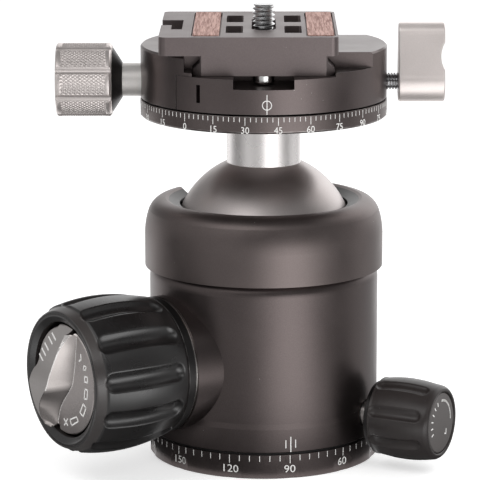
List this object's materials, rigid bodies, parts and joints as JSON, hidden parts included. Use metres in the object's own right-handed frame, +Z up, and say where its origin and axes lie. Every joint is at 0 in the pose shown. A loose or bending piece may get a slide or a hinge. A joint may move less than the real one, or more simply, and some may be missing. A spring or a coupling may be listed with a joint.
{
  "type": "tripod ball head",
  "caption": "Tripod ball head with panning base, locking ball in a slotted round housing, panning dovetail clamp with knurled knob and lever, and quick-release plate.",
  "frame": {"origin": "centre of the underside of the base, at the mouth of the tripod thread", "axes": "+Z up along the panning axis of the base, +X towards the lever of the top clamp, -Y towards the front with the index marks"},
  "size_m": [0.122, 0.0898, 0.1302],
  "materials": {
    "black_anodised": "satin black anodised aluminium",
    "knob_black": "satin black anodised aluminium",
    "ball_grey": "satin dark grey hard-anodised aluminium",
    "satin_silver": "satin silver aluminium",
    "steel": "bright machined steel",
    "bronze": "machined bronze",
    "grip_rubber": "moulded black rubber, half gloss",
    "pad_rubber": "reddish brown cork rubber",
    "slide_plastic": "white acetal",
    "cap_black": "satin black disc"
  },
  "bodies": {
    "base": {"base_plate": "black_anodised", "tripod_bush": "steel", "pan_post": "steel", "base_screws": "steel", "glide_ring": "slide_plastic", "thrust_washer": "slide_plastic", "post_ring": "steel"},
    "housing": {"housing_shell": "black_anodised", "collar": "black_anodised", "collar_liner": "black_anodised", "spindle_bush": "bronze", "pan_bush": "bronze"},
    "pan_shoe": {"pan_pad": "bronze"},
    "pan_knob": {"pan_screw": "satin_silver", "pan_hub": "knob_black", "pan_grip": "grip_rubber", "pan_cap": "cap_black"},
    "wedge": {"lock_wedge": "steel"},
    "main_knob": {"lock_spindle": "steel", "knob_washer": "satin_silver", "knob_hub": "knob_black", "knob_grip": "grip_rubber"},
    "dial": {"tension_dial": "satin_silver"},
    "lift": {"seat_carrier": "steel"},
    "seat": {"ball_seat": "slide_plastic"},
    "ball_stem": {"ball": "ball_grey", "stem": "satin_silver", "scale_disc": "black_anodised", "pan_spigot": "steel", "spigot_keeper": "steel", "stem_bolt": "steel"},
    "clamp": {"clamp_body": "black_anodised", "guide_pins": "steel"},
    "moving_jaw": {"jaw": "black_anodised"},
    "clamp_knob": {"clamp_screw": "satin_silver", "clamp_cone": "knob_black", "clamp_grip": "satin_silver"},
    "top_shoe": {"top_pad": "bronze"},
    "pan_lever": {"lever_bolt": "steel", "thumb_lever": "satin_silver"},
    "quick_plate": {"plate": "black_anodised", "plate_pads": "pad_rubber", "stop_screws": "steel"},
    "screw_slide": {"screw_washer": "steel"},
    "mount_screw": {"camera_screw": "steel"}
  },
  "joints": [
    {"name": "base_pan", "type": "hinge", "parent": "base", "child": "housing", "pos_m": [0, 0, 0.0145], "axis": [0, 0, 1], "continuous": true},
    {"name": "pan_shoe_travel", "type": "slide", "parent": "housing", "child": "pan_shoe", "axis": [0.8878, -0.4602, 0], "range_m": [0, 0.001]},
    {"name": "pan_knob_turn", "type": "hinge", "parent": "pan_shoe", "child": "pan_knob", "pos_m": [0.03995, -0.02071, 0.0145], "axis": [0.8878, -0.4602, 0], "range_deg": [0, 360]},
    {"name": "lock_travel", "type": "slide", "parent": "housing", "child": "wedge", "axis": [-0.8256, -0.5642, 0], "range_m": [0, 0.0009375]},
    {"name": "main_knob_turn", "type": "hinge", "parent": "wedge", "child": "main_knob", "pos_m": [-0.04128, -0.02821, 0.0302], "axis": [-0.8256, -0.5642, 0], "range_deg": [0, 270]},
    {"name": "dial_turn", "type": "hinge", "parent": "main_knob", "child": "dial", "pos_m": [-0.04954, -0.03386, 0.0302], "axis": [-0.8256, -0.5642, 0], "range_deg": [-130, 130]},
    {"name": "seat_lift", "type": "slide", "parent": "housing", "child": "lift", "axis": [0, 0, 1], "range_m": [-0.00035, 0]},
    {"name": "ball_swing", "type": "hinge", "parent": "lift", "child": "seat", "pos_m": [0, 0, 0.0612], "axis": [0, 0, 1], "range_deg": [0, 360]},
    {"name": "ball_tilt", "type": "hinge", "parent": "seat", "child": "ball_stem", "pos_m": [0, 0, 0.0612], "axis": [-0.8256, -0.5642, 0], "range_deg": [-36, 90]},
    {"name": "top_pan", "type": "hinge", "parent": "ball_stem", "child": "clamp", "pos_m": [0, 0, 0.108], "axis": [0, 0, 1], "continuous": true},
    {"name": "jaw_slide", "type": "slide", "parent": "clamp", "child": "moving_jaw", "axis": [-1, 0, 0], "range_m": [0, 0.004]},
    {"name": "clamp_knob_turn", "type": "hinge", "parent": "moving_jaw", "child": "clamp_knob", "pos_m": [-0.045, 0, 0.10855], "axis": [-1, 0, 0], "range_deg": [0, 1440]},
    {"name": "top_shoe_travel", "type": "slide", "parent": "clamp", "child": "top_shoe", "axis": [1, 0, 0], "range_m": [0, 0.0004]},
    {"name": "lever_turn", "type": "hinge", "parent": "top_shoe", "child": "pan_lever", "pos_m": [0.04, 0, 0.10805], "axis": [1, 0, 0], "range_deg": [0, 180]},
    {"name": "plate_slide", "type": "slide", "parent": "clamp", "child": "quick_plate", "axis": [0, 1, 0], "range_m": [-0.0039, 0.0039]},
    {"name": "screw_shift", "type": "slide", "parent": "quick_plate", "child": "screw_slide", "axis": [0, 1, 0], "range_m": [-0.0085, 0.0085]},
    {"name": "camera_screw_turn", "type": "hinge", "parent": "screw_slide", "child": "mount_screw", "pos_m": [0, 0, 0.12], "axis": [0, 0, 1], "continuous": true}
  ],
  "couplings": [
    {"joint": "pan_knob_turn", "follows": "pan_shoe_travel", "rad_per_m": 6283.2},
    {"joint": "main_knob_turn", "follows": "lock_travel", "rad_per_m": 5026.5},
    {"joint": "seat_lift", "follows": "lock_travel", "ratio": -0.36397},
    {"joint": "clamp_knob_turn", "follows": "jaw_slide", "rad_per_m": 6283.2},
    {"joint": "lever_turn", "follows": "top_shoe_travel", "rad_per_m": 7854}
  ]
}
